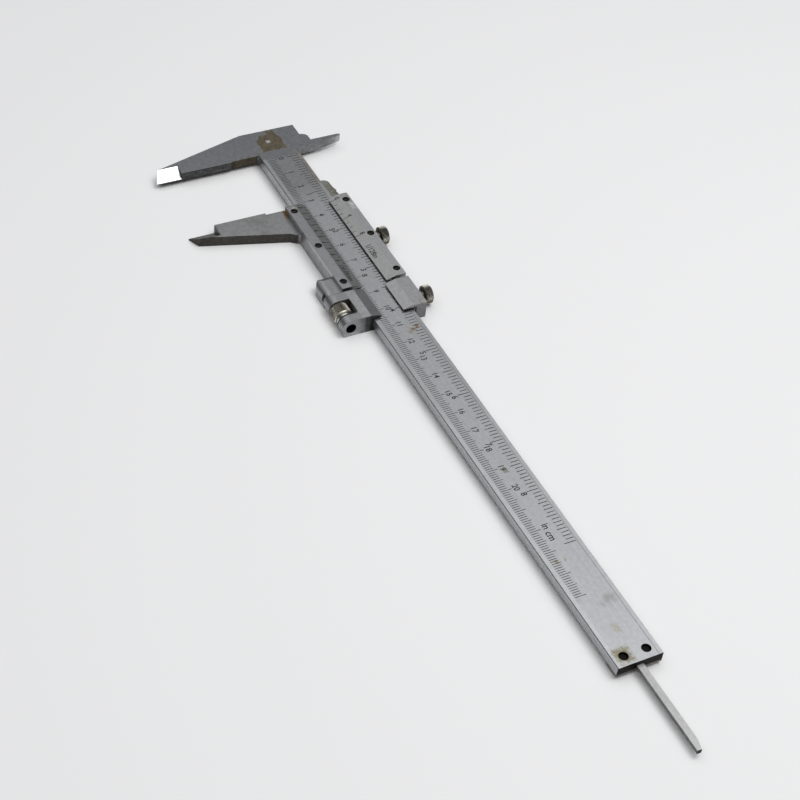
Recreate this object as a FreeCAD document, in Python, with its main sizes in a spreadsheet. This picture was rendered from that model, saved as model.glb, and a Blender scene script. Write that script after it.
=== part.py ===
"""A 200 mm vernier caliper with fine adjustment, as a parametric document.

The frame: X runs along the beam from the fixed jaw's measuring face, Y runs across the beam from its
middle to the inside blades, and Z runs up from the beam's back to its graduated face.
The slider's pieces are drawn from the moving jaw's measuring face and the carriage's from its front
face, and each is then placed along the beam by the jaw opening.
"""
import FreeCAD, Part
import math
import os
import Sketcher

DIMENSIONS = [
    # the jaw opening, and the room that moving pieces keep
    ("opening", 34.8), ("slide_gap", 0.1), ("overhang_gap", 0.5), ("carriage_gap", 1.7),
    ("thread_gap", 0.05), ("tip_gap", 0.05), ("head_clearance", 0.08), ("yoke_gap", 0.08),
    # beam
    ("beam_end", 284.3), ("beam_width", 17.0), ("beam_thick", 3.5), ("edge_chamfer", 0.25),
    ("low_strip", 1.7), ("high_strip", 1.6), ("field_depth", 0.15), ("field_start", 3.2),
    # head with the fixed outside jaw and the fixed inside blade
    ("head_back", 16.0), ("head_rise", 5.0), ("head_drop", 2.5),
    ("shoulder_rise", 2.9), ("shoulder_start", 8.8), ("shoulder_end", 6.8), ("shoulder_round", 3.2),
    ("blade_face", 3.8), ("blade_back", 0.2), ("blade_root", 3.5), ("blade_rise", 21.3),
    ("blade_tip_width", 0.5), ("blade_round", 60.0),
    ("jaw_reach", 44.7), ("jaw_tip_width", 5.1), ("jaw_tip_slant", 2.3),
    ("knife_length", 10.7), ("knife_width", 5.0), ("knife_land", 0.6),
    ("relief_length", 12.3), ("fixed_relief", 0.4),
    # slider channel
    ("slider_front", 2.1), ("slider_length", 54.0), ("low_rail", 4.5), ("high_rail", 4.2),
    ("gib_room", 1.2), ("back_thick", 1.9),
    # moving jaw
    ("jaw_step", 0.9), ("moving_relief", 1.0), ("jaw_root", 17.6), ("jaw_heel", 15.2),
    ("jaw_heel_drop", 3.3), ("moving_knife_width", 6.6), ("jaw_overlap", 1.0),
    # arm of the broken inside blade
    ("arm_length", 15.3), ("arm_lap", 4.5), ("arm_round", 2.6),
    ("break_start", 10.2), ("break_end", 4.4), ("break_rise", 0.7),
    # lug for the fine-adjustment stud, and the carriage's yoke
    ("lug_length", 11.4), ("lug_reach", 7.2), ("lug_round", 3.0), ("lug_corner", 4.5),
    ("lug_end_round", 3.0),
    ("carriage_length", 16.2), ("yoke_arm", 4.2), ("yoke_foot_width", 2.6),
    # vernier plates, and the bevels of plates and carriage, measured from the beam's edges
    ("plate_thick", 1.5), ("plate_edge", 0.4), ("plate_round", 1.4),
    ("inch_lap", 2.85), ("inch_flat", 1.6), ("metric_lap", 3.7), ("metric_flat", 0.5),
    ("carriage_high_lap", 4.4), ("carriage_high_flat", 0.1),
    ("carriage_low_lap", 3.4), ("carriage_low_flat", 0.9),
    # plate screws
    ("screw_inset", 4.0), ("plate_screw_radius", 0.8), ("plate_head_radius", 1.4),
    ("plate_head_height", 0.8), ("plate_head_recess", 0.3), ("plate_screw_reach", 2.4),
    ("short_screw_reach", 0.7),
    # gibs and their set screws
    ("gib_thick", 0.45), ("gib_low", 0.3), ("gib_bow", 0.35), ("gib_inset", 3.0),
    ("set_screw_radius", 1.0), ("set_screw_inset", 12.0), ("set_screw_recess", 0.3),
    ("set_screw_proud", 0.2),
    # clamp screws
    ("clamp_radius", 1.25), ("clamp_lift", 0.05), ("clamp_floor_gap", 0.1), ("clamp_neck", 2.0),
    ("clamp_head_length", 3.5), ("clamp_collar_radius", 2.2), ("clamp_collar_gap", 0.3),
    ("clamp_chamfer", 0.5), ("clamp_offset", 0.9), ("carriage_clamp_place", 8.7),
    # fine-adjustment stud and nut
    ("stud_radius", 2.0), ("stud_reach", 4.5), ("stud_hold", 8.0), ("stud_in_arm", 0.9),
    ("nut_floor_gap", 0.05), ("nut_side_gap", 0.2), ("nut_collar", 1.7), ("nut_step", 0.4),
    ("nut_chamfer", 0.5), ("lock_pin_radius", 0.75),
    # knurls
    ("knurl_count", 44), ("knurl_depth", 0.28),
    # depth rod
    ("rod_width", 2.55), ("rod_thick", 1.45), ("rod_height", 0.1), ("rod_start", 24.0),
    ("rod_side_gap", 0.425), ("rod_roof_gap", 0.45), ("rod_lead", 4.0),
    ("rod_taper", 4.2), ("rod_taper_depth", 0.95), ("rod_boss_length", 9.0), ("rod_boss_step", 0.35),
    ("rod_pin_radius", 0.6), ("rod_pin_inset", 2.2),
    # end plate
    ("end_plate_length", 6.4), ("end_plate_thick", 0.9), ("end_screw_place", 3.7),
    ("end_screw_spread", 4.25), ("end_screw_radius", 1.62),
    ("end_head_radius", 2.2), ("end_head_depth", 0.7), ("end_screw_reach", 2.3),
    # worked out from the sizes above: the beam and the head
    ("half_width", "=beam_width / 2"),
    ("field_low", "=half_width - low_strip"),
    ("field_high", "=half_width - high_strip"),
    ("head_top", "=half_width + head_rise"),
    ("head_low", "=half_width + head_drop"),
    ("shoulder_top", "=head_top + shoulder_rise"),
    ("blade_straight", "=half_width + blade_root"),
    ("blade_tip", "=half_width + blade_rise"),
    ("jaw_depth", "=half_width + jaw_reach"),
    ("knife_start", "=jaw_depth - knife_length"),
    ("relief_end", "=half_width + relief_length"),
    # worked out: the channel round the beam
    ("back_low", "=-slide_gap - back_thick"),
    ("rail_top", "=beam_thick + overhang_gap"),
    ("plate_top", "=rail_top + plate_thick"),
    ("jaw_top", "=beam_thick - jaw_step"),
    ("low_wall", "=half_width + slide_gap"),
    ("high_wall", "=half_width + gib_room"),
    ("low_side", "=low_wall + low_rail"),
    ("high_side", "=high_wall + high_rail"),
    ("slider_end", "=slider_front + slider_length"),
    ("jaw_heel_depth", "=low_side + jaw_heel_drop"),
    ("arm_low", "=half_width - arm_lap"),
    ("lug_side", "=low_side + lug_reach"),
    ("lug_top", "=rail_top"),
    ("inch_inner", "=half_width - inch_lap"),
    ("inch_ridge", "=half_width + inch_flat"),
    ("metric_inner", "=half_width - metric_lap"),
    ("metric_ridge", "=half_width + metric_flat"),
    ("inch_screw_side", "=(high_wall + high_side) / 2"),
    ("metric_screw_side", "=(low_wall + low_side) / 2"),
    ("screw_start", "=slider_front + screw_inset"),
    ("screw_pitch", "=slider_length / 2 - screw_inset"),
    ("screw_head_low", "=plate_top - plate_head_recess - plate_head_height"),
    ("gib_face", "=half_width + slide_gap"),
    ("gib_height", "=beam_thick - 2 * gib_low"),
    # worked out: the clamp screws
    ("clamp_height", "=beam_thick / 2 + clamp_lift"),
    ("clamp_head_radius", "=clamp_height - back_low - clamp_floor_gap"),
    ("clamp_head_start", "=high_side + clamp_neck"),
    ("clamp_tip", "=gib_face + gib_thick + tip_gap"),
    ("clamp_place", "=slider_front + slider_length / 2 - clamp_offset"),
    # worked out: the carriage, the stud and the nut
    ("carriage_place", "=opening + slider_end + carriage_gap"),
    ("carriage_high_inner", "=half_width - carriage_high_lap"),
    ("carriage_high_ridge", "=half_width - carriage_high_flat"),
    ("carriage_low_inner", "=half_width - carriage_low_lap"),
    ("carriage_low_ridge", "=half_width + carriage_low_flat"),
    ("window_end", "=carriage_length - yoke_arm"),
    ("stud_side", "=low_side + stud_reach"),
    ("stud_height", "=beam_thick / 2"),
    ("stud_start", "=slider_end - stud_hold"),
    ("stud_end", "=slider_end + carriage_gap + window_end + stud_in_arm"),
    ("lock_pin_place", "=slider_end - lug_length / 2"),
    ("lock_pin_top", "=stud_height + lock_pin_radius"),
    ("yoke_hole_radius", "=stud_radius + yoke_gap"),
    ("yoke_round", "=plate_top - stud_height"),
    ("yoke_foot", "=stud_side + yoke_foot_width"),
    ("nut_radius", "=stud_height - back_low - nut_floor_gap"),
    ("nut_collar_radius", "=nut_radius - nut_step"),
    ("nut_length", "=window_end - yoke_arm - 2 * nut_side_gap"),
    ("nut_grip", "=nut_length - nut_collar"),
    # worked out: the depth rod and the end plate
    ("rod_top", "=rod_height + rod_thick"),
    ("rod_boss_width", "=rod_width - rod_boss_step"),
    ("groove_width", "=rod_width + 2 * rod_side_gap"),
    ("groove_depth", "=rod_top + rod_roof_gap"),
    ("groove_start", "=rod_start - rod_lead"),
    ("end_hole_radius", "=end_screw_radius + head_clearance"),
]

doc = FreeCAD.newDocument("caliper")
sheet = doc.addObject("Spreadsheet::Sheet", "dims")
for row, (alias, value) in enumerate(DIMENSIONS, start=1):
    sheet.set(f"A{row}", alias)
    sheet.set(f"B{row}", str(value))
    sheet.setAlias(f"B{row}", alias)
doc.recompute()

ALIASES = sorted((alias for alias, _ in DIMENSIONS), key=len, reverse=True)


def bound(text):
    """Turns words of the sheet into references to its cells."""
    words = []
    word = ""
    for letter in text + " ":
        if letter.isalnum() or letter == "_":
            word += letter
            continue
        words.append(f"dims.{word}" if word in ALIASES else word)
        words.append(letter)
        word = ""
    return "".join(words).strip()


def value_of(text):
    """The number that an expression on the sheet gives now."""
    result = sheet.evalExpression(bound(text))
    return float(getattr(result, "Value", result))


def origin_plane(body, role):
    """One of the body's own three planes."""
    return next(item for item in body.Origin.OriginFeatures if item.Role == role)


def new_body(name, along="0"):
    """An empty body whose name is its file's, placed along the beam."""
    body = doc.addObject("PartDesign::Body", name)
    body.Label = name
    body.setExpression("Placement.Base.x", bound(along))
    return body


def new_sketch(body, name, plane, offset):
    """An empty sketch on one of the body's planes, moved along that plane's normal."""
    sketch = body.newObject("Sketcher::SketchObject", f"{body.Name}_{name}")
    sketch.AttachmentSupport = (origin_plane(body, plane), [""])
    sketch.MapMode = "FlatFace"
    sketch.setExpression("AttachmentOffset.Base.z", bound(offset))
    return sketch


def pin_point(sketch, edge, end, across, up, label):
    """Ties one end of an edge, or a circle's centre, to two expressions."""
    for kind, text in (("DistanceX", across), ("DistanceY", up)):
        constraint = Sketcher.Constraint(kind, -1, 1, edge, end, value_of(text))
        index = sketch.addConstraint(constraint)
        sketch.renameConstraint(index, f"{label}_{kind[-1].lower()}")
        sketch.setExpression(f"Constraints.{label}_{kind[-1].lower()}", bound(text))


def arc_between(start, finish, radius):
    """The shorter arc from one point to another; a positive radius turns left."""
    chord = finish - start
    middle = (start + finish) * 0.5
    left = FreeCAD.Vector(-chord.y, chord.x, 0).normalize()
    rise = math.sqrt(max(radius * radius - (chord.Length / 2) ** 2, 0.0))
    centre = middle + left * math.copysign(rise, radius)
    circle = Part.Circle(centre, FreeCAD.Vector(0, 0, 1), abs(radius))
    first, last = (start, finish) if radius > 0 else (finish, start)
    return Part.ArcOfCircle(circle, circle.parameter(first), circle.parameter(last))


def draw_outline(sketch, corners, prefix="p"):
    """Draws a closed outline. A corner is (across, up) or (across, up, radius of the arc after it)."""
    points = [FreeCAD.Vector(value_of(corner[0]), value_of(corner[1]), 0) for corner in corners]
    edges = []
    for index, corner in enumerate(corners):
        start, finish = points[index], points[(index + 1) % len(points)]
        if len(corner) == 2:
            edges.append((sketch.addGeometry(Part.LineSegment(start, finish)), 1, 2))
            continue
        radius = value_of(corner[2])
        edge = sketch.addGeometry(arc_between(start, finish, radius))
        ends = (1, 2) if radius > 0 else (2, 1)
        edges.append((edge, *ends))
    for index, corner in enumerate(corners):
        edge, start_end, _ = edges[index]
        previous, _, previous_end = edges[index - 1]
        sketch.addConstraint(Sketcher.Constraint("Coincident", previous, previous_end, edge, start_end))
        pin_point(sketch, edge, start_end, corner[0], corner[1], f"{prefix}{index}")
        if len(corner) == 3:
            label = f"{prefix}{index}_round"
            constraint = Sketcher.Constraint("Radius", edge, abs(value_of(corner[2])))
            sketch.renameConstraint(sketch.addConstraint(constraint), label)
            sketch.setExpression(f"Constraints.{label}", bound(f"abs({corner[2]})"))


def draw_circles(sketch, circles):
    """Draws circles, each (across, up, radius)."""
    for index, (across, up, radius) in enumerate(circles):
        centre = FreeCAD.Vector(value_of(across), value_of(up), 0)
        circle = Part.Circle(centre, FreeCAD.Vector(0, 0, 1), value_of(radius))
        edge = sketch.addGeometry(circle)
        pin_point(sketch, edge, 3, across, up, f"c{index}")
        label = f"c{index}_radius"
        constraint = Sketcher.Constraint("Radius", edge, value_of(radius))
        sketch.renameConstraint(sketch.addConstraint(constraint), label)
        sketch.setExpression(f"Constraints.{label}", bound(radius))


def sketch_of(body, name, plane, offset, corners=None, circles=None):
    """A sketch that holds one outline or a set of circles."""
    sketch = new_sketch(body, name, plane, offset)
    if corners:
        draw_outline(sketch, corners)
    if circles:
        draw_circles(sketch, circles)
    return sketch


def add_pad(body, name, plane, offset, length, corners=None, circles=None):
    """Adds material along the plane's normal, from offset over length."""
    pad = body.newObject("PartDesign::Pad", f"{body.Name}_{name}")
    pad.Profile = sketch_of(body, f"{name}_sketch", plane, offset, corners, circles)
    pad.setExpression("Length", bound(length))
    doc.recompute()
    return pad


def cut_pocket(body, name, plane, offset, length, corners=None, circles=None):
    """Takes material away along the plane's normal, from offset over length."""
    before = body.Shape.Volume
    pocket = body.newObject("PartDesign::Pocket", f"{body.Name}_{name}")
    pocket.Profile = sketch_of(body, f"{name}_sketch", plane, offset, corners, circles)
    pocket.Reversed = True
    pocket.setExpression("Length", bound(length))
    doc.recompute()
    if body.Shape.Volume >= before:
        raise RuntimeError(f"{pocket.Name} takes nothing away")
    return pocket


def repeat_around(body, feature, axis_role, count):
    """Repeats a feature evenly round one of the body's axes."""
    pattern = body.newObject("PartDesign::PolarPattern", f"{feature.Name}_round")
    pattern.Originals = [feature]
    axis = next(item for item in body.Origin.OriginFeatures if item.Role == axis_role)
    pattern.Axis = (axis, [""])
    pattern.Angle = 360
    pattern.setExpression("Occurrences", bound(count))
    body.Tip = pattern
    doc.recompute()


def chamfer_edges(body, name, size, chosen):
    """Breaks the edges whose middle point passes the test."""
    base = body.Tip
    names = [f"Edge{number}" for number, edge in enumerate(base.Shape.Edges, start=1)
             if chosen(edge.valueAt((edge.FirstParameter + edge.LastParameter) / 2), edge)]
    chamfer = body.newObject("PartDesign::Chamfer", f"{body.Name}_{name}")
    chamfer.Base = (base, names)
    chamfer.setExpression("Size", bound(size))
    doc.recompute()


def box(left, right, low, high):
    """The four corners of an upright rectangle."""
    return [(left, low), (right, low), (right, high), (left, high)]


def make_beam():
    """Beam, head, fixed outside jaw and fixed inside blade, in one piece."""
    body = new_body("beam")
    outline = [
        ("beam_end", "-half_width"),
        ("beam_end", "half_width"),
        ("-blade_back", "half_width"),
        ("-blade_back", "blade_straight", "blade_round"),
        ("blade_tip_width - blade_face", "blade_tip"),
        ("-blade_face", "blade_tip - 1"),
        ("-blade_face", "shoulder_top"),
        ("-shoulder_end", "shoulder_top", "shoulder_round"),
        ("-shoulder_start", "head_top"),
        ("-head_back", "head_top"),
        ("-head_back", "-head_low"),
        ("-jaw_tip_width", "jaw_tip_slant - jaw_depth"),
        ("0", "-jaw_depth"),
        ("0", "-relief_end"),
        ("-fixed_relief", "-relief_end"),
        ("-fixed_relief", "-half_width"),
    ]
    add_pad(body, "plate", "XY_Plane", "0", "beam_thick", outline)
    knife = [("-knife_width", "beam_thick"), ("0", "knife_land"), ("1", "knife_land"),
             ("1", "beam_thick + 1"), ("-knife_width", "beam_thick + 1")]
    cut_pocket(body, "knife", "XZ_Plane", "knife_start", "jaw_depth - knife_start + 1", knife)
    cut_pocket(body, "field", "XY_Plane", "beam_thick - field_depth", "field_depth + 1",
               box("field_start", "beam_end - edge_chamfer", "-field_low", "field_high"))
    cut_pocket(body, "rod_groove", "XY_Plane", "-1", "groove_depth + 1",
               box("groove_start", "beam_end + 1", "-groove_width / 2", "groove_width / 2"))
    cut_pocket(body, "end_holes", "XY_Plane", "-1", "beam_thick + 2", circles=[
        ("beam_end - end_screw_place", "end_screw_spread", "end_hole_radius"),
        ("beam_end - end_screw_place", "-end_screw_spread", "end_hole_radius")])
    side, top = value_of("half_width"), value_of("beam_thick")
    chamfer_edges(body, "edges", "edge_chamfer", lambda middle, edge: (
        edge.Length > value_of("beam_end") / 2 and abs(abs(middle.y) - side) < 1e-6
        and abs(middle.z - top) < 1e-6))
    return body


def make_end_plate():
    """Stop plate screwed to the back of the beam's end, which also keeps the depth rod in its groove."""
    body = new_body("end_plate")
    add_pad(body, "plate", "XY_Plane", "-end_plate_thick", "end_plate_thick",
            box("beam_end - end_plate_length", "beam_end", "-half_width", "half_width"))
    for name, side in (("low", "-end_screw_spread"), ("high", "end_screw_spread")):
        cut_cone(body, name, "beam_end - end_screw_place", side)
    return body


def cut_cone(body, name, along, side):
    """Countersinks one screw hole through the end plate, from its back."""
    sketch = body.newObject("Sketcher::SketchObject", f"{body.Name}_{name}_sketch")
    sketch.AttachmentSupport = (origin_plane(body, "XZ_Plane"), [""])
    sketch.MapMode = "FlatFace"
    sketch.setExpression("AttachmentOffset.Base.x", bound(along))
    sketch.setExpression("AttachmentOffset.Base.z", bound(f"-({side})"))
    draw_outline(sketch, [
        ("0", "-end_plate_thick - 0.001"),
        ("end_head_radius + head_clearance", "-end_plate_thick - 0.001"),
        ("end_hole_radius", "end_head_depth - end_plate_thick"),
        ("end_hole_radius", "1"),
        ("0", "1")])
    groove = body.newObject("PartDesign::Groove", f"{body.Name}_{name}")
    groove.Profile = sketch
    groove.ReferenceAxis = (sketch, ["V_Axis"])
    groove.Angle = 360
    doc.recompute()


def revolve_about_z(body, name, corners):
    """Turns a half outline (radius, height) about the body's own Z axis."""
    sketch = sketch_of(body, f"{name}_sketch", "XZ_Plane", "0", corners)
    turned = body.newObject("PartDesign::Revolution", f"{body.Name}_{name}")
    turned.Profile = sketch
    turned.ReferenceAxis = (sketch, ["V_Axis"])
    turned.Angle = 360
    doc.recompute()
    return turned


def screw_group(label, template_corners, places, along="0"):
    """Copies one turned screw to several places as separate solids of one node.

    Each place is (x, y, z, corners or None); None uses the template's corners.
    """
    pieces = []
    for number, (across, side, height, corners) in enumerate(places, start=1):
        body = new_body(f"{label}_{number}")
        revolve_about_z(body, "turned", corners or template_corners)
        for axis, text in zip("xyz", (f"{across} + {along}", side, height)):
            body.setExpression(f"Placement.Base.{axis}", bound(text))
        pieces.append(body)
    group = doc.addObject("Part::Compound", label)
    group.Label = label
    group.Links = pieces
    doc.recompute()
    return group


def make_end_plate_screws():
    """Two countersunk screws that hold the end plate, up into the beam's threaded holes."""
    corners = [("0", "0"), ("end_head_radius", "0"), ("end_screw_radius", "end_head_depth"),
               ("end_screw_radius", "end_plate_thick + end_screw_reach"),
               ("0", "end_plate_thick + end_screw_reach")]
    places = [("beam_end - end_screw_place", side, "-end_plate_thick", None)
              for side in ("-end_screw_spread", "end_screw_spread")]
    return screw_group("end_plate_screws", corners, places)


def make_slider_body():
    """Channel round the beam with the moving jaw, the arm of the broken blade and the stud's lug."""
    body = new_body("slider_body", "opening")
    channel = [
        ("-low_side", "back_low"), ("high_side", "back_low"), ("high_side", "rail_top"),
        ("high_wall", "rail_top"), ("high_wall", "-slide_gap"), ("-low_wall", "-slide_gap"),
        ("-low_wall", "rail_top"), ("-low_side", "rail_top")]
    add_pad(body, "channel", "YZ_Plane", "slider_front", "slider_length", channel)
    jaw = [
        ("0", "-jaw_depth"), ("jaw_tip_width", "jaw_tip_slant - jaw_depth"),
        ("jaw_heel", "-jaw_heel_depth"), ("jaw_root", "-low_side"),
        ("jaw_root", "jaw_overlap - low_side"), ("moving_relief", "jaw_overlap - low_side"),
        ("moving_relief", "-relief_end"), ("0", "-relief_end")]
    add_pad(body, "jaw", "XY_Plane", "back_low", "jaw_top - back_low", jaw)
    knife = [("0", "back_low + knife_land"), ("moving_knife_width", "jaw_top"),
             ("moving_knife_width", "jaw_top + 1"), ("-1", "jaw_top + 1"), ("-1", "back_low + knife_land")]
    cut_pocket(body, "knife", "XZ_Plane", "knife_start", "jaw_depth - knife_start + 1", knife)
    arm = [
        ("slider_front + 1", "arm_low"), ("slider_front + 1", "head_top"),
        ("-break_end", "head_top"),
        ("-break_end - 0.5", "head_top + 0.8 * break_rise"),
        ("-break_end - 1.9", "head_top + 0.3 * break_rise"),
        ("-break_end - 3.1", "head_top + break_rise"),
        ("-break_end - 4.4", "head_top + 0.4 * break_rise"),
        ("-break_start", "head_top"),
        ("arm_round - arm_length", "head_top", "arm_round"),
        ("-arm_length", "head_top - arm_round"),
        ("-arm_length", "arm_low")]
    add_pad(body, "arm", "XY_Plane", "back_low", "back_thick", arm)
    lug = [
        ("-lug_side", "back_low"), ("jaw_overlap - low_side", "back_low"),
        ("jaw_overlap - low_side", "lug_top"), ("lug_round - lug_side", "lug_top", "lug_round"),
        ("-lug_side", "lug_top - lug_round")]
    add_pad(body, "lug", "YZ_Plane", "slider_end - lug_length", "lug_length", lug)
    lug_start = "slider_end - lug_length"
    cut_pocket(body, "lug_corner", "XY_Plane", "back_low - 1", "lug_top - back_low + 2", [
        (f"{lug_start} + lug_corner", "-lug_side", "-lug_corner"),
        (lug_start, "lug_corner - lug_side"),
        (f"{lug_start} - 1", "lug_corner - lug_side"),
        (f"{lug_start} - 1", "-lug_side - 1"),
        (f"{lug_start} + lug_corner", "-lug_side - 1")])
    cut_pocket(body, "lug_end", "XZ_Plane", "low_side", "lug_side - low_side + 1", [
        (lug_start, "lug_top - lug_end_round", "-lug_end_round"),
        (f"{lug_start} + lug_end_round", "lug_top"),
        (f"{lug_start} + lug_end_round", "lug_top + 1"),
        (f"{lug_start} - 1", "lug_top + 1"),
        (f"{lug_start} - 1", "lug_top - lug_end_round")])
    add_pad(body, "rod_boss", "XY_Plane", "-slide_gap - 0.5", "rod_height + slide_gap + 0.5",
            box("rod_start", "rod_start + rod_boss_length", "-rod_boss_width / 2", "rod_boss_width / 2"))
    cut_pocket(body, "stud_hole", "YZ_Plane", "stud_start", "slider_end - stud_start + 1",
               circles=[("-stud_side", "stud_height", "stud_radius")])
    cut_pocket(body, "lock_pin_hole", "XY_Plane", "back_low - 1", "lock_pin_top - back_low + 1",
               circles=[("lock_pin_place", "-stud_side", "lock_pin_radius")])
    for side, text in (("high", "inch_screw_side"), ("low", "-metric_screw_side")):
        for number, reach in enumerate(("plate_screw_reach", "short_screw_reach", "plate_screw_reach")):
            cut_pocket(body, f"{side}_screw_hole_{number}", "XY_Plane", f"rail_top - {reach}",
                       f"{reach} + 1", circles=[
                           (f"screw_start + {number} * screw_pitch", text, "plate_screw_radius")])
    cut_pocket(body, "clamp_hole", "XZ_Plane", "-high_side - 1", "high_side - high_wall + 2",
               circles=[("clamp_place", "clamp_height", "clamp_radius + thread_gap")])
    cut_pocket(body, "set_screw_holes", "XZ_Plane", "-high_side - 1", "high_side - high_wall + 2",
               circles=[("slider_front + set_screw_inset", "clamp_height", "set_screw_radius"),
                        ("slider_end - set_screw_inset", "clamp_height", "set_screw_radius")])
    cut_pocket(body, "rod_pin_holes", "XY_Plane", "back_low - 1", "rod_height - back_low + 2",
               circles=rod_pin_places("rod_pin_radius"))
    return body


def rod_pin_places(radius):
    """The two pins that hold the depth rod on the slider's boss."""
    return [("rod_start + rod_pin_inset", "0", radius),
            ("rod_start + rod_boss_length - rod_pin_inset", "0", radius)]


def make_vernier_plate(label, sign, inner, ridge, outer, screw_side):
    """One bevelled plate on a rail; sign is 1 on the inch side and -1 on the metric side."""
    body = new_body(label, "opening")

    def across(text):
        return text if sign > 0 else f"-({text})"

    turn = "plate_round" if sign < 0 else "-plate_round"
    add_pad(body, "plate", "XY_Plane", "rail_top", "plate_thick", [
        ("slider_front", across(outer)),
        ("slider_front", across(f"{inner} + plate_round"), f"-({turn})"),
        ("slider_front + plate_round", across(inner)),
        ("slider_end", across(inner)),
        ("slider_end", across(outer))])
    cut_pocket(body, "bevel", "YZ_Plane", "slider_front - 1", "slider_length + 2", [
        (across(ridge), "plate_top"), (across(inner), "rail_top + plate_edge"),
        (across(f"{inner} - 1"), "rail_top + plate_edge"),
        (across(f"{inner} - 1"), "plate_top + 1"), (across(ridge), "plate_top + 1")])
    places = [f"screw_start + {number} * screw_pitch" for number in range(3)]
    cut_pocket(body, "screw_holes", "XY_Plane", "rail_top - 1", "plate_thick + 2", circles=[
        (place, across(screw_side), "plate_screw_radius + head_clearance") for place in places])
    cut_pocket(body, "screw_seats", "XY_Plane", "screw_head_low", "plate_thick + 1", circles=[
        (place, across(screw_side), "plate_head_radius + head_clearance") for place in places])
    return body


def plate_screw_corners(reach):
    """Half outline of a plate screw from its tip to its slotted head."""
    return [("0", "0"), ("plate_screw_radius", "0"),
            ("plate_screw_radius", f"screw_head_low - rail_top + {reach}"),
            ("plate_head_radius", f"screw_head_low - rail_top + {reach}"),
            ("plate_head_radius", f"screw_head_low - rail_top + {reach} + plate_head_height"),
            ("0", f"screw_head_low - rail_top + {reach} + plate_head_height")]


def make_plate_screws(label, side):
    """Three screws of one vernier plate; the middle one is short, because the clamp screw is below it."""
    places = []
    for number, reach in enumerate(("plate_screw_reach", "short_screw_reach", "plate_screw_reach")):
        places.append((f"screw_start + {number} * screw_pitch", side, f"rail_top - {reach}",
                       plate_screw_corners(reach)))
    return screw_group(label, None, places, "opening")


def make_gib(label, along, start, length):
    """Bowed leaf spring between the beam's upper edge and the channel's wall."""
    body = new_body(label, along)
    finish = f"{start} + {length}"
    bow = f"({length}) * ({length}) / (8 * gib_bow) + gib_bow / 2"
    add_pad(body, "leaf", "XY_Plane", "gib_low", "gib_height", [
        (start, "gib_face + gib_bow", f"{bow}"),
        (finish, "gib_face + gib_bow"),
        (finish, "gib_face + gib_bow + gib_thick", f"-({bow} - gib_thick)"),
        (start, "gib_face + gib_bow + gib_thick")])
    return body


def make_set_screws():
    """Two headless screws in the upper rail that set the gib."""
    length = "high_side - set_screw_recess - high_wall + set_screw_proud"
    corners = [("0", "0"), ("set_screw_radius", "0"), ("set_screw_radius", length), ("0", length)]
    group = screw_group("gib_set_screws", corners, [
        ("slider_front + set_screw_inset", "high_wall - set_screw_proud", "clamp_height", None),
        ("slider_end - set_screw_inset", "high_wall - set_screw_proud", "clamp_height", None)], "opening")
    for piece in group.Links:
        piece.Placement = FreeCAD.Placement(piece.Placement.Base, FreeCAD.Rotation(
            FreeCAD.Vector(1, 0, 0), -90))
    doc.recompute()
    return group


def knurl(body, name, start, length, radius):
    """Cuts straight V grooves round a turned grip, parallel to the body's Z axis."""
    depth = "knurl_depth"
    groove = cut_pocket(body, name, "XY_Plane", start, length, [
        (f"{radius} - {depth}", "0"), (f"{radius} + {depth}", f"-2 * {depth}"),
        (f"{radius} + {depth}", f"2 * {depth}")])
    repeat_around(body, groove, "Z_Axis", "knurl_count")


def make_clamp_screw(label, along):
    """Knurled thumb screw through the upper rail, drawn along Z and laid across the beam."""
    body = new_body(label)
    head_low = "clamp_head_start - clamp_tip"
    head_top = "clamp_head_start - clamp_tip + clamp_head_length"
    collar_low = "high_side + clamp_collar_gap - clamp_tip"
    revolve_about_z(body, "turned", [
        ("0", "0"), ("clamp_radius", "0"), ("clamp_radius", collar_low),
        ("clamp_collar_radius", collar_low), ("clamp_collar_radius", head_low),
        ("clamp_head_radius - 2 * clamp_chamfer", head_low),
        ("clamp_head_radius", f"{head_low} + clamp_chamfer"),
        ("clamp_head_radius", f"{head_top} - clamp_chamfer"),
        ("clamp_head_radius - clamp_chamfer", head_top), ("0", head_top)])
    knurl(body, "knurl", f"{head_low} + clamp_chamfer", "clamp_head_length - 2 * clamp_chamfer",
          "clamp_head_radius")
    body.Placement = FreeCAD.Placement(FreeCAD.Vector(), FreeCAD.Rotation(FreeCAD.Vector(1, 0, 0), -90))
    for axis, text in zip("xyz", (along, "clamp_tip", "clamp_height")):
        body.setExpression(f"Placement.Base.{axis}", bound(text))
    return body


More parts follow.
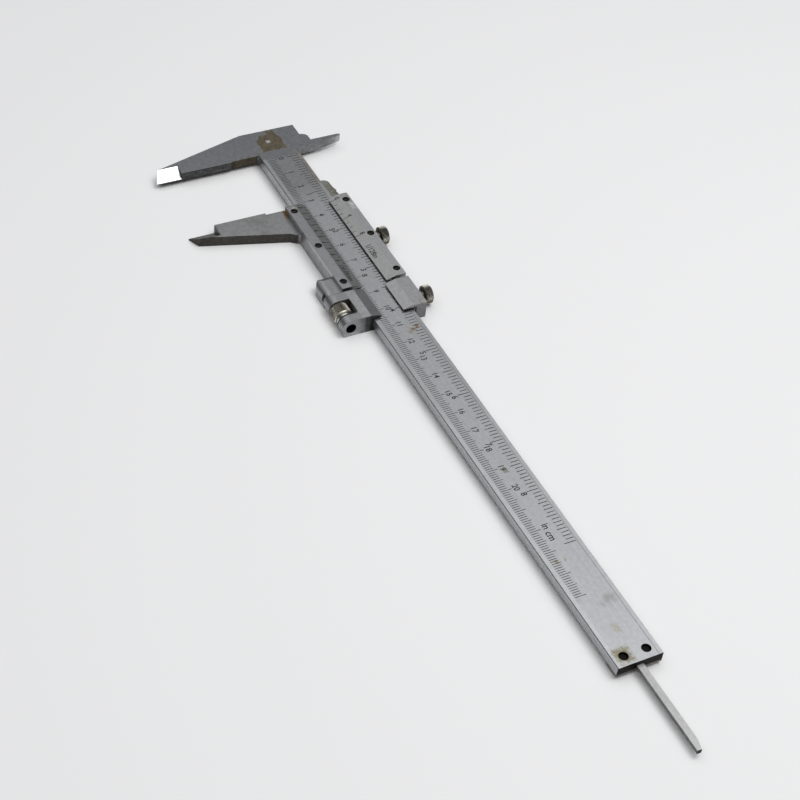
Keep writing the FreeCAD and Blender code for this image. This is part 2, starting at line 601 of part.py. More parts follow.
def make_carriage_body():
    """Fine-adjustment carriage: a block round the beam with a yoke for the nut."""
    body = new_body("carriage_body", "carriage_place")
    section = [
        ("-low_side", "back_low"), ("high_side", "back_low"), ("high_side", "plate_top"),
        ("carriage_high_ridge", "plate_top"), ("carriage_high_inner", "rail_top + plate_edge"),
        ("carriage_high_inner", "rail_top"), ("high_wall", "rail_top"), ("high_wall", "-slide_gap"),
        ("-low_wall", "-slide_gap"), ("-low_wall", "rail_top"), ("-carriage_low_inner", "rail_top"),
        ("-carriage_low_inner", "rail_top + plate_edge"), ("-carriage_low_ridge", "plate_top"),
        ("-low_side", "plate_top")]
    add_pad(body, "block", "YZ_Plane", "0", "carriage_length", section)
    yoke = [
        ("-yoke_foot", "back_low"), ("jaw_overlap - low_side", "back_low"),
        ("jaw_overlap - low_side", "plate_top"), ("-stud_side", "plate_top", "yoke_round"),
        ("-stud_side - yoke_round", "stud_height")]
    add_pad(body, "yoke", "YZ_Plane", "0", "carriage_length", yoke)
    cut_pocket(body, "window", "XY_Plane", "back_low - 1", "plate_top - back_low + 2",
               box("yoke_arm", "window_end", "-stud_side - yoke_round - 1", "-low_side"))
    cut_pocket(body, "stud_hole", "YZ_Plane", "-1", "carriage_length + 2",
               circles=[("-stud_side", "stud_height", "yoke_hole_radius")])
    cut_pocket(body, "clamp_hole", "XZ_Plane", "-high_side - 1", "high_side - high_wall + 2",
               circles=[("carriage_clamp_place", "clamp_height", "clamp_radius + thread_gap")])
    return body


def make_nut():
    """Knurled nut with a polished collar, drawn along Z and laid along the stud."""
    body = new_body("fine_adjust_nut")
    revolve_about_z(body, "turned", [
        ("stud_radius + thread_gap", "0"), ("nut_radius - nut_chamfer", "0"),
        ("nut_radius", "nut_chamfer"), ("nut_radius", "nut_grip - nut_chamfer"),
        ("nut_collar_radius", "nut_grip"), ("nut_collar_radius", "nut_length - nut_collar / 2"),
        ("stud_radius + nut_chamfer", "nut_length"), ("stud_radius + thread_gap", "nut_length")])
    knurl(body, "knurl", "nut_chamfer", "nut_grip - 2 * nut_chamfer", "nut_radius")
    body.Placement = FreeCAD.Placement(FreeCAD.Vector(), FreeCAD.Rotation(FreeCAD.Vector(0, 1, 0), 90))
    for axis, text in zip("xyz", ("carriage_place + yoke_arm + nut_side_gap", "-stud_side", "stud_height")):
        body.setExpression(f"Placement.Base.{axis}", bound(text))
    return body


def make_stud():
    """Stud that is pinned in the slider's lug and runs through the yoke and its nut."""
    body = new_body("fine_adjust_stud", "opening")
    add_pad(body, "rod", "YZ_Plane", "stud_start", "stud_end - stud_start",
            circles=[("-stud_side", "stud_height", "stud_radius")])
    cut_pocket(body, "pin_hole", "XY_Plane", "stud_height - stud_radius - 1",
               "lock_pin_top - stud_height + stud_radius + 1",
               circles=[("lock_pin_place", "-stud_side", "lock_pin_radius")])
    return body


def make_lock_pin():
    """Pin across the lug that keeps the stud from turning."""
    body = new_body("stud_lock_pin", "opening")
    add_pad(body, "pin", "XY_Plane", "back_low + 0.2", "lock_pin_top - back_low - 0.2",
            circles=[("lock_pin_place", "-stud_side", "lock_pin_radius")])
    return body


def make_depth_rod():
    """Flat rod in the beam's back groove, level with the beam's end when the jaws are shut."""
    body = new_body("depth_rod", "opening")
    add_pad(body, "bar", "XY_Plane", "rod_height", "rod_thick", [
        ("rod_start", "-rod_width / 2"), ("beam_end", "-rod_width / 2"),
        ("beam_end", "rod_width / 2 - rod_taper_depth"), ("beam_end - rod_taper", "rod_width / 2"),
        ("rod_start", "rod_width / 2")])
    cut_pocket(body, "pin_holes", "XY_Plane", "0", "rod_top + 1", circles=rod_pin_places("rod_pin_radius"))
    return body


def make_rod_pins():
    """Two pins through the slider's back, its boss and the rod."""
    length = "rod_top - back_low - 0.2"
    corners = [("0", "0"), ("rod_pin_radius", "0"), ("rod_pin_radius", length), ("0", length)]
    places = [(across, side, "back_low + 0.1", None) for across, side, _ in rod_pin_places("rod_pin_radius")]
    return screw_group("depth_rod_pins", corners, places, "opening")


NODES = [
    make_beam(),
    make_end_plate(),
    make_end_plate_screws(),
    make_slider_body(),
    make_vernier_plate("inch_vernier_plate", 1, "inch_inner", "inch_ridge", "high_side", "inch_screw_side"),
    make_vernier_plate("metric_vernier_plate", -1, "metric_inner", "metric_ridge", "low_side",
                       "metric_screw_side"),
    make_plate_screws("inch_plate_screws", "inch_screw_side"),
    make_plate_screws("metric_plate_screws", "-metric_screw_side"),
    make_gib("slider_gib", "opening", "slider_front + gib_inset", "slider_length - 2 * gib_inset"),
    make_set_screws(),
    make_clamp_screw("slider_clamp_screw", "opening + clamp_place"),
    make_carriage_body(),
    make_gib("carriage_gib", "carriage_place", "0.5", "carriage_length - 1"),
    make_clamp_screw("carriage_clamp_screw", "carriage_place + carriage_clamp_place"),
    make_nut(),
    make_stud(),
    make_lock_pin(),
    make_depth_rod(),
    make_rod_pins(),
]

doc.recompute()
for item in doc.Objects:
    if "Invalid" in item.State or "Error" in item.State:
        raise RuntimeError(f"{item.Name} did not build: {item.State}")
for node in NODES:
    if node.Shape.isNull() or not node.Shape.isValid() or not node.Shape.Solids:
        raise RuntimeError(f"{node.Label} has no valid solid")

os.makedirs("parts", exist_ok=True)
for node in NODES:
    node.Shape.exportStep(f"parts/{node.Label}.step")
    room = node.Shape.BoundBox
    print(f"{node.Label}: {len(node.Shape.Solids)} solids, {node.Shape.Volume:.1f} mm3, "
          f"x {room.XMin:.2f}..{room.XMax:.2f} y {room.YMin:.2f}..{room.YMax:.2f} "
          f"z {room.ZMin:.2f}..{room.ZMax:.2f}")
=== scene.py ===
"""Looks of a 200 mm vernier caliper: worn steel finishes, engraved scales, light and camera.

Lengths inside the classes are millimetres in the row frame: X runs along the beam from the fixed jaw's
measuring face, Y across the beam towards the inside blade, and Z out of the graduated face.
"""
from __future__ import annotations

import logging
from collections.abc import Callable, Iterable
from dataclasses import dataclass, field
from enum import Enum

import bmesh
import bpy
from mathutils import Matrix, Quaternion, Vector

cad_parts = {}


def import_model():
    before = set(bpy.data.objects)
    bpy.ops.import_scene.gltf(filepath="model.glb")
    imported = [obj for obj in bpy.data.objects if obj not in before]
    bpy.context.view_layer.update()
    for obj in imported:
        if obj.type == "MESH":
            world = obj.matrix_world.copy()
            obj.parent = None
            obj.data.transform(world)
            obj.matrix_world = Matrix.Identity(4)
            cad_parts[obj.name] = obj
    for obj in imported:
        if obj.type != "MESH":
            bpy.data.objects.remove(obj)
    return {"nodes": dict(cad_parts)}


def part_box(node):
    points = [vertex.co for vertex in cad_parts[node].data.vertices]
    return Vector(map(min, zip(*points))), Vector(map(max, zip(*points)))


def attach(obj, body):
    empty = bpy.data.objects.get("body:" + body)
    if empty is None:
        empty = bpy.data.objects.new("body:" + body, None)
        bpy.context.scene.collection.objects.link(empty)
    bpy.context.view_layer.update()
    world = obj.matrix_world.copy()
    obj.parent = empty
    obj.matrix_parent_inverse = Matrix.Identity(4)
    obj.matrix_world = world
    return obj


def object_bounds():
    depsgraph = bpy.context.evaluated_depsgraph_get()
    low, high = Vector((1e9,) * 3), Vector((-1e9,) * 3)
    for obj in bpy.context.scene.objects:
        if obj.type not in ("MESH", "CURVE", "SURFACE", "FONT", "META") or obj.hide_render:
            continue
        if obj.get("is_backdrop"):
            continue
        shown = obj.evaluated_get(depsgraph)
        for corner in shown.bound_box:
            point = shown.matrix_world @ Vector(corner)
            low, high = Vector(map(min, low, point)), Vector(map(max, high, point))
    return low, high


LOG = logging.getLogger("caliper")
MM = 0.001
MERGE = 0.0005
CAPITAL_SHARE = 0.7
Colour = tuple[float, float, float]
Point = tuple[float, float, float]
Value = bpy.types.NodeSocket | float | tuple
Nodes = dict[str, bpy.types.Object]


class Grain(Enum):
    """Which way a surface was ground, as the stretch of its fine scratches per millimetre."""

    ALONG_BEAM = (0.05, 9.0, 9.0)
    ACROSS_BEAM = (9.0, 0.05, 9.0)
    EVEN = (2.6, 2.6, 2.6)


class Effect(Enum):
    """The shader node groups that the finishes share."""

    SCRATCHES = "fine_scratches"
    STAIN = "cloudy_stain"
    PITS = "small_pits"
    PATCH = "ragged_patch"


class Graph:
    """Adds nodes to one node tree in short calls."""

    def __init__(self, tree: bpy.types.NodeTree) -> None:
        """Keeps the tree that the nodes go into."""
        self.tree = tree

    def node(self, kind: str, **settings: object) -> bpy.types.Node:
        """Adds a node and sets its properties.

        Args:
            kind: The node's type name.
            **settings: Properties of the node.

        Returns:
            The new node.
        """
        made = self.tree.nodes.new(kind)
        for name, value in settings.items():
            setattr(made, name, value)
        return made

    def feed(self, target: bpy.types.NodeSocket, value: Value) -> None:
        """Links a socket to the target, or writes a constant on it."""
        if isinstance(value, bpy.types.NodeSocket):
            self.tree.links.new(value, target)
        elif isinstance(value, tuple) and target.type == "RGBA" and len(value) == 3:
            target.default_value = (*value, 1.0)
        else:
            target.default_value = value

    def math(self, operation: str, first: Value, second: Value = 0.0,
             clamp: bool = False) -> bpy.types.NodeSocket:
        """Adds a Math node and returns its result."""
        made = self.node("ShaderNodeMath", operation=operation, use_clamp=clamp)
        self.feed(made.inputs[0], first)
        self.feed(made.inputs[1], second)
        return made.outputs[0]

    def vector(self, operation: str, first: Value, second: Value) -> bpy.types.Node:
        """Adds a Vector Math node with two inputs and returns it."""
        made = self.node("ShaderNodeVectorMath", operation=operation)
        self.feed(made.inputs[0], first)
        self.feed(made.inputs[1], second)
        return made

    def noise(self, vector: Value, scale: Value, detail: float, rough: float) -> bpy.types.NodeSocket:
        """Adds a noise texture and returns its value."""
        made = self.node("ShaderNodeTexNoise")
        self.feed(made.inputs["Vector"], vector)
        self.feed(made.inputs["Scale"], scale)
        made.inputs["Detail"].default_value = detail
        made.inputs["Roughness"].default_value = rough
        return made.outputs["Fac"]

    def span(self, value: Value, low: Value, high: Value,
             to_low: Value = 0.0, to_high: Value = 1.0) -> bpy.types.NodeSocket:
        """Maps a value from one range to another, smoothly and clamped, and returns the result."""
        made = self.node("ShaderNodeMapRange", interpolation_type="SMOOTHSTEP", clamp=True)
        for name, number in (("Value", value), ("From Min", low), ("From Max", high),
                             ("To Min", to_low), ("To Max", to_high)):
            self.feed(made.inputs[name], number)
        return made.outputs["Result"]

    def mix(self, factor: Value, first: Value, second: Value) -> bpy.types.NodeSocket:
        """Mixes two colours and returns the result."""
        made = self.node("ShaderNodeMix", data_type="RGBA", clamp_factor=True)
        self.feed(made.inputs[0], factor)
        self.feed(made.inputs[6], first)
        self.feed(made.inputs[7], second)
        return made.outputs[2]

    def lerp(self, factor: Value, first: Value, second: Value) -> bpy.types.NodeSocket:
        """Mixes two numbers and returns the result."""
        made = self.node("ShaderNodeMix", data_type="FLOAT", clamp_factor=True)
        self.feed(made.inputs[0], factor)
        self.feed(made.inputs[2], first)
        self.feed(made.inputs[3], second)
        return made.outputs[0]

    def effect(self, effect: Effect, **inputs: Value) -> bpy.types.Node:
        """Places a shared group and feeds its named inputs.

        Args:
            effect: The group to place.
            **inputs: Values by the name of the input.

        Returns:
            The group node.
        """
        made = self.node("ShaderNodeGroup", node_tree=EffectLibrary.tree(effect))
        for name, value in inputs.items():
            self.feed(made.inputs[name], value)
        return made

    def place(self) -> bpy.types.NodeSocket:
        """Returns the place on the object, in millimetres."""
        metres = self.node("ShaderNodeTexCoord").outputs["Object"]
        return self.vector("MULTIPLY", metres, (1 / MM, 1 / MM, 1 / MM)).outputs[0]

    def shade(self, **inputs: Value) -> bpy.types.Node:
        """Ends a material's graph with a Principled shader.

        Args:
            **inputs: Values by the shader's input names, with underscores for spaces.

        Returns:
            The shader node.
        """
        shader = self.node("ShaderNodeBsdfPrincipled")
        for name, value in inputs.items():
            self.feed(shader.inputs[name.replace("_", " ")], value)
        self.feed(self.node("ShaderNodeOutputMaterial").inputs["Surface"], shader.outputs[0])
        return shader


def blank_material(name: str) -> tuple[bpy.types.Material, Graph]:
    """Makes a material with no nodes, and returns it with its graph."""
    made = bpy.data.materials.new(name)
    made.use_nodes = True
    made.node_tree.nodes.clear()
    return made, Graph(made.node_tree)


class EffectLibrary:
    """Builds each shared effect once, as a shader node group with named inputs and outputs."""

    @staticmethod
    def tree(effect: Effect) -> bpy.types.NodeTree:
        """Returns the group of an effect, and builds it the first time."""
        found = bpy.data.node_groups.get(effect.value)
        if found:
            return found
        builders: dict[Effect, Callable[[bpy.types.NodeTree], None]] = {
            Effect.SCRATCHES: EffectLibrary._scratches,
            Effect.STAIN: EffectLibrary._stain,
            Effect.PITS: EffectLibrary._pits,
            Effect.PATCH: EffectLibrary._patch,
        }
        made = bpy.data.node_groups.new(effect.value, "ShaderNodeTree")
        builders[effect](made)
        return made

    @staticmethod
    def _sockets(tree: bpy.types.NodeTree, inputs: dict[str, float | tuple],
                 outputs: Iterable[str]) -> tuple[Graph, dict, bpy.types.Node]:
        """Names a group's sockets.

        Args:
            tree: The new group.
            inputs: Defaults by input name; a tuple makes a vector.
            outputs: Names of the float outputs.

        Returns:
            The graph, the input sockets by name, and the output node.
        """
        for name, value in inputs.items():
            kind = "NodeSocketVector" if isinstance(value, tuple) else "NodeSocketFloat"
            tree.interface.new_socket(name, in_out="INPUT", socket_type=kind).default_value = value
        for name in outputs:
            tree.interface.new_socket(name, in_out="OUTPUT", socket_type="NodeSocketFloat")
        graph = Graph(tree)
        start = graph.node("NodeGroupInput")
        return graph, {name: start.outputs[name] for name in inputs}, graph.node("NodeGroupOutput")

    @staticmethod
    def _scratches(tree: bpy.types.NodeTree) -> None:
        """Long fine scratches, with a few deep ones among them."""
        graph, given, out = EffectLibrary._sockets(
            tree, {"Vector": (0.0, 0.0, 0.0), "Stretch": (1.0, 1.0, 1.0)}, ("Height", "Shine"))
        drawn = graph.vector("MULTIPLY", given["Vector"], given["Stretch"]).outputs[0]
        fine = graph.noise(drawn, scale=1.0, detail=4.0, rough=0.65)
        broad = graph.noise(drawn, scale=0.23, detail=2.0, rough=0.5)
        deep = graph.span(graph.noise(drawn, scale=0.55, detail=1.0, rough=0.4), 0.66, 0.72)
        height = graph.math("SUBTRACT", graph.math("ADD", fine, graph.math("MULTIPLY", broad, 0.5)), deep)
        graph.feed(out.inputs["Height"], height)
        graph.feed(out.inputs["Shine"], graph.span(graph.math("ADD", fine, broad), 0.7, 1.3))

    @staticmethod
    def _stain(tree: bpy.types.NodeTree) -> None:
        """Soft clouds with finer mottling inside them."""
        graph, given, out = EffectLibrary._sockets(
            tree, {"Vector": (0.0, 0.0, 0.0), "Size": 10.0, "Cover": 0.5}, ("Mask", "Mottle"))
        scale = graph.math("DIVIDE", 1.0, given["Size"])
        cloud = graph.noise(given["Vector"], scale, detail=5.0, rough=0.62)
        low = graph.math("SUBTRACT", 0.72, graph.math("MULTIPLY", given["Cover"], 0.4))
        graph.feed(out.inputs["Mask"], graph.span(cloud, low, graph.math("ADD", low, 0.16)))
        fine = graph.noise(given["Vector"], graph.math("MULTIPLY", scale, 9.0), detail=3.0, rough=0.6)
        graph.feed(out.inputs["Mottle"], graph.span(fine, 0.34, 0.68))

    @staticmethod
    def _pits(tree: bpy.types.NodeTree) -> None:
        """Scattered round pits."""
        graph, given, out = EffectLibrary._sockets(
            tree, {"Vector": (0.0, 0.0, 0.0), "Size": 0.5, "Cover": 0.2}, ("Mask",))
        cells = graph.node("ShaderNodeTexVoronoi", feature="F1")
        graph.feed(cells.inputs["Vector"], given["Vector"])
        graph.feed(cells.inputs["Scale"], graph.math("DIVIDE", 0.4, given["Size"]))
        near = graph.span(cells.outputs["Distance"], 0.08, 0.22, to_low=1.0, to_high=0.0)
        where = graph.noise(given["Vector"], scale=0.16, detail=2.0, rough=0.5)
        low = graph.math("SUBTRACT", 0.75, graph.math("MULTIPLY", given["Cover"], 0.5))
        chosen = graph.span(where, low, graph.math("ADD", low, 0.06))
        graph.feed(out.inputs["Mask"], graph.math("MULTIPLY", near, chosen))

    @staticmethod
    def _patch(tree: bpy.types.NodeTree) -> None:
        """A box-shaped patch with ragged edges, for rust, polish, painted highlights and painted shade in one
        place.
        """
        graph, given, out = EffectLibrary._sockets(
            tree, {"Vector": (0.0, 0.0, 0.0), "Centre": (0.0, 0.0, 0.0), "Reach": (1.0, 1.0, 1.0),
                   "Ragged": 0.5, "Soft": 0.1}, ("Mask",))
        offset = graph.vector("SUBTRACT", given["Vector"], given["Centre"]).outputs[0]
        share = graph.vector("DIVIDE", offset, given["Reach"]).outputs[0]
        parts = graph.node("ShaderNodeSeparateXYZ")
        graph.feed(parts.inputs[0], graph.vector("ABSOLUTE", share, (0.0, 0.0, 0.0)).outputs[0])
        far = graph.math("MAXIMUM", parts.outputs[0], parts.outputs[1])
        far = graph.math("MAXIMUM", far, parts.outputs[2])
        wobble = graph.math("SUBTRACT", graph.noise(given["Vector"], scale=0.75, detail=4.0, rough=0.65), 0.5)
        reach = graph.math("ADD", far, graph.math("MULTIPLY", wobble, given["Ragged"]))
        low = graph.math("SUBTRACT", 1.0, given["Soft"])
        high = graph.math("ADD", 1.0, given["Soft"])
        graph.feed(out.inputs["Mask"], graph.span(reach, low, high, to_low=1.0, to_high=0.0))


@dataclass(frozen=True)
class Patch:
    """One place on a surface with a look of its own.

    The reach is half the patch's size. Ragged and soft say how its edge runs, bite how rough its
    crust is, and mottle how much darker its dark spots are.
    """

    centre: Point
    reach: Point
    colour: Colour
    roughness: float
    metal: float = 0.1
    ragged: float = 0.5
    soft: float = 0.12
    strength: float = 1.0
    bite: float = 0.0
    mottle: float = 0.45


@dataclass(frozen=True)
class Knurl:
    """Painted shade in the grooves of one knurled grip, found by the distance from the grip's axis."""

    axis: Point
    middle: Point
    half_length: float
    crest: float
    depth: float = 0.28
    floor_share: float = 0.75
    crest_share: float = 0.3

    def mask(self, graph: Graph, place: Value) -> bpy.types.NodeSocket:
        """Returns 1 at the bottom of the grooves and 0 on their crests and away from the grip."""
        offset = graph.vector("SUBTRACT", place, self.middle).outputs[0]
        along = graph.vector("DOT_PRODUCT", offset, self.axis).outputs["Value"]
        across = graph.vector("MULTIPLY", offset, tuple(1.0 - part for part in self.axis)).outputs[0]
        radius = graph.vector("DISTANCE", across, (0.0, 0.0, 0.0)).outputs["Value"]
        low = graph.span(radius, self.crest - self.floor_share * self.depth,
                         self.crest - self.crest_share * self.depth, to_low=1.0, to_high=0.0)
        inside = graph.math("LESS_THAN", graph.math("ABSOLUTE", along), self.half_length)
        return graph.math("MULTIPLY", low, inside)


@dataclass(frozen=True)
class SteelFinish:
    """Bare steel with grain, cloudy stains, pits and local patches."""

    name: str
    dark: Colour
    light: Colour
    roughness: float
    grain: Grain = Grain.ALONG_BEAM
    grain_depth: float = 0.004
    stain: Colour = (0.20, 0.19, 0.165)
    stain_size: float = 14.0
    stain_cover: float = 0.35
    pit_cover: float = 0.25
    patches: tuple[Patch, ...] = ()
    knurls: tuple[Knurl, ...] = ()
    # near-black painted shade in the knurls' grooves, and its roughness
    groove_shade: Colour = (0.020, 0.017, 0.012)
    groove_shade_cover: float = 0.98
    groove_roughness: float = 0.7
    mottle_share: float = 0.45
    scratch_roughness: tuple[float, float] = (0.07, -0.05)
    stain_strength: float = 0.55
    stain_roughness: float = 0.12
    pit_size: float = 0.35
    pit_strength: float = 0.8
    pit_dulling: float = 0.7
    pit_colour: Colour = (0.05, 0.042, 0.035)
    bump_strength: float = 0.35

    def material(self) -> bpy.types.Material:
        """Builds the material."""
        made, graph = blank_material(self.name)
        place = graph.place()
        scratch = graph.effect(Effect.SCRATCHES, Vector=place, Stretch=self.grain.value)
        cloud = graph.effect(Effect.STAIN, Vector=place, Size=self.stain_size, Cover=self.stain_cover)
        pits = graph.effect(Effect.PITS, Vector=place, Size=self.pit_size,
                            Cover=self.pit_cover).outputs["Mask"]
        tone = graph.lerp(self.mottle_share, scratch.outputs["Shine"], cloud.outputs["Mottle"])
        stained = graph.math("MULTIPLY", cloud.outputs["Mask"], self.stain_strength)
        colour = graph.mix(stained, graph.mix(tone, self.dark, self.light), self.stain)
        colour = graph.mix(graph.math("MULTIPLY", pits, self.pit_strength), colour, self.pit_colour)
        rough = graph.span(tone, 0.0, 1.0, *(self.roughness + more for more in self.scratch_roughness))
        rough = graph.lerp(cloud.outputs["Mask"], rough, self.roughness + self.stain_roughness)
        metal = graph.math("SUBTRACT", 1.0, graph.math("MULTIPLY", pits, self.pit_dulling), clamp=True)
        height = graph.math("SUBTRACT", scratch.outputs["Height"], pits)
        for patch in self.patches:
            mask = graph.effect(Effect.PATCH, Vector=place, Centre=patch.centre, Reach=patch.reach,
                                Ragged=patch.ragged, Soft=patch.soft).outputs["Mask"]
            worn = graph.math("MULTIPLY", mask, patch.strength)
            shade = tuple((1.0 - patch.mottle) * channel for channel in patch.colour)
            colour = graph.mix(worn, colour, graph.mix(cloud.outputs["Mottle"], shade, patch.colour))
            rough = graph.lerp(worn, rough, patch.roughness)
            metal = graph.lerp(worn, metal, patch.metal)
            if patch.bite:
                crust = graph.noise(place, scale=1.8, detail=5.0, rough=0.7)
                rubble = graph.math("MULTIPLY", crust, patch.bite)
                height = graph.math("ADD", height, graph.math("MULTIPLY", worn, rubble))
        # paint shade into the knurls' grooves
        for knurl in self.knurls:
            groove = graph.math("MULTIPLY", knurl.mask(graph, place), self.groove_shade_cover)
            colour = graph.mix(groove, colour, self.groove_shade)
            rough = graph.lerp(groove, rough, self.groove_roughness)
        bump = graph.node("ShaderNodeBump")
        graph.feed(bump.inputs["Strength"], self.bump_strength)
        graph.feed(bump.inputs["Distance"], self.grain_depth * MM)
        graph.feed(bump.inputs["Height"], height)
        graph.shade(Base_Color=colour, Roughness=rough, Metallic=metal, Normal=bump.outputs["Normal"])
        return made


@dataclass(frozen=True)
class DarkFinish:
    """Blackened steel or old ink in a cut line, worn through in places."""

    name: str
    colour: Colour
    worn: Colour
    roughness: float
    wear_size: float
    wear_cover: float
    gloss: float = 0.08
    rubbed_tint: float = 0.4
    worn_metal: float = 0.8
    roughness_spread: float = 0.15

    def material(self) -> bpy.types.Material:
        """Builds the material."""
        made, graph = blank_material(self.name)
        cloud = graph.effect(Effect.STAIN, Vector=graph.place(), Size=self.wear_size, Cover=self.wear_cover)
        rubbed = graph.math("MULTIPLY", cloud.outputs["Mottle"], self.rubbed_tint)
        colour = graph.mix(cloud.outputs["Mask"], graph.mix(rubbed, self.colour, self.worn), self.worn)
        rough = graph.span(cloud.outputs["Mottle"], 0.0, 1.0, to_low=self.roughness,
                           to_high=self.roughness + self.roughness_spread)
        metal = graph.math("MULTIPLY", cloud.outputs["Mask"], self.worn_metal)
        shader = graph.shade(Base_Color=colour, Roughness=rough, Metallic=metal)
        shader.inputs["Specular IOR Level"].default_value = self.gloss
        return made


RUST: Colour = (0.19, 0.105, 0.038)
OLD_RUST: Colour = (0.105, 0.083, 0.048)
# near-black painted shade, for end faces, holes and gaps that fall in shade
PAINTED_SHADE_BLACK: Colour = (0.022, 0.019, 0.016)


@dataclass
class Engraving:
    """Marks on one flat face, built as shallow inlaid bars and figures and joined into one mesh.

    The face has its own axes: along the scale, and across it towards the top of the figures.
    """

    name: str
    body: str
    slot: str
    start: Vector
    across: Vector
    depth: float = 0.012
    bold: float = 0.05
    mesh: bmesh.types.BMesh = field(default_factory=bmesh.new)

    def place(self) -> Matrix:
        """The matrix from the face's own axes to the row frame, in millimetres."""
        along = Vector((1.0, 0.0, 0.0))
        up = self.across.normalized()
        columns = Matrix((along, up, along.cross(up))).transposed().to_4x4()
        return Matrix.Translation(self.start) @ columns

    def tick(self, at: float, low: float, high: float, width: float = 0.14) -> None:
        """Adds one line across the scale.

        Args:
            at: The line's place along the scale.
            low: Its lower end across the scale.
            high: Its upper end across the scale.
            width: Its width.
        """
        made = bmesh.ops.create_cube(self.mesh, size=1.0)["verts"]
        bmesh.ops.scale(self.mesh, vec=(width, high - low, 2 * self.depth), verts=made)
        bmesh.ops.translate(self.mesh, vec=(at, (low + high) / 2, 0.0), verts=made)

    def text(self, words: str, at: float, height: float, size: float, narrow: float = 0.9) -> None:
        """Adds figures or letters, centred on a point.

        Args:
            words: What is engraved.
            at: The centre along the scale.
            height: The centre across the scale.
            size: The height of a capital letter.
            narrow: How far the letters are squeezed along the scale.
        """
        curve = bpy.data.curves.new(f"{self.name}_text", "FONT")
        curve.body = words
        curve.size = size / CAPITAL_SHARE
        curve.align_x = "CENTER"
        curve.align_y = "CENTER"
        curve.extrude = self.depth
        curve.offset = self.bold
        curve.resolution_u = 3
        holder = bpy.data.objects.new(f"{self.name}_text", curve)
        bpy.context.scene.collection.objects.link(holder)
        bpy.context.view_layer.update()
        solid = bpy.data.meshes.new_from_object(holder)
        before = len(self.mesh.verts)
        self.mesh.from_mesh(solid)
        self.mesh.verts.ensure_lookup_table()
        made = self.mesh.verts[before:]
        bmesh.ops.scale(self.mesh, vec=(narrow, 1.0, 1.0), verts=made)
        bmesh.ops.translate(self.mesh, vec=(at, height, 0.0), verts=made)
        bpy.data.objects.remove(holder)
        bpy.data.curves.remove(curve)
        bpy.data.meshes.remove(solid)

    def finish(self, material: bpy.types.Material) -> bpy.types.Object:
        """Puts the marks on their face and returns the finished piece."""
        bmesh.ops.remove_doubles(self.mesh, verts=self.mesh.verts, dist=MERGE)
        bmesh.ops.transform(self.mesh, matrix=Matrix.Scale(MM, 4) @ self.place(), verts=self.mesh.verts)
        bmesh.ops.recalc_face_normals(self.mesh, faces=self.mesh.faces)
        return add_piece(self.name, self.mesh, material, self.body)


def add_piece(name: str, mesh: bmesh.types.BMesh, material: bpy.types.Material,
              body: str) -> bpy.types.Object:
    """Turns a finished bmesh into an object that rides on a body.

    Args:
        name: The piece's name.
        mesh: Its mesh, in metres in the row frame.
        material: Its material.
        body: The body that it moves with.

    Returns:
        The new object.
    """
    data = bpy.data.meshes.new(name)
    mesh.to_mesh(data)
    mesh.free()
    data.materials.append(material)
    made = bpy.data.objects.new(name, data)
    bpy.context.scene.collection.objects.link(made)
    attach(made, body)
    LOG.info("built %s: %d faces", name, len(data.polygons))
    return made


def dress(nodes: Nodes, names: Iterable[str], material: bpy.types.Material) -> None:
    """Gives CAD nodes a material in every slot.

    Args:
        nodes: The frame's nodes by name.
        names: The nodes to dress.
        material: What they are given.
    """
    for name in names:
        slots = nodes[name].data.materials
        for number in range(len(slots)):
            slots[number] = material
        if not slots:
            slots.append(material)
        LOG.info("dressed %s", name)


Lines = tuple[tuple[int, float], ...]


def line_length(lines: Lines, number: int) -> float:
    """Finds how long one line of a scale is.

    Args:
        lines: Pairs of a step and a length, with the longest lines first.
        number: The line's number, counted from the zero line.

    Returns:
        The length that goes with the first step that divides the number.
    """
    return next(length for step, length in lines if number % step == 0)


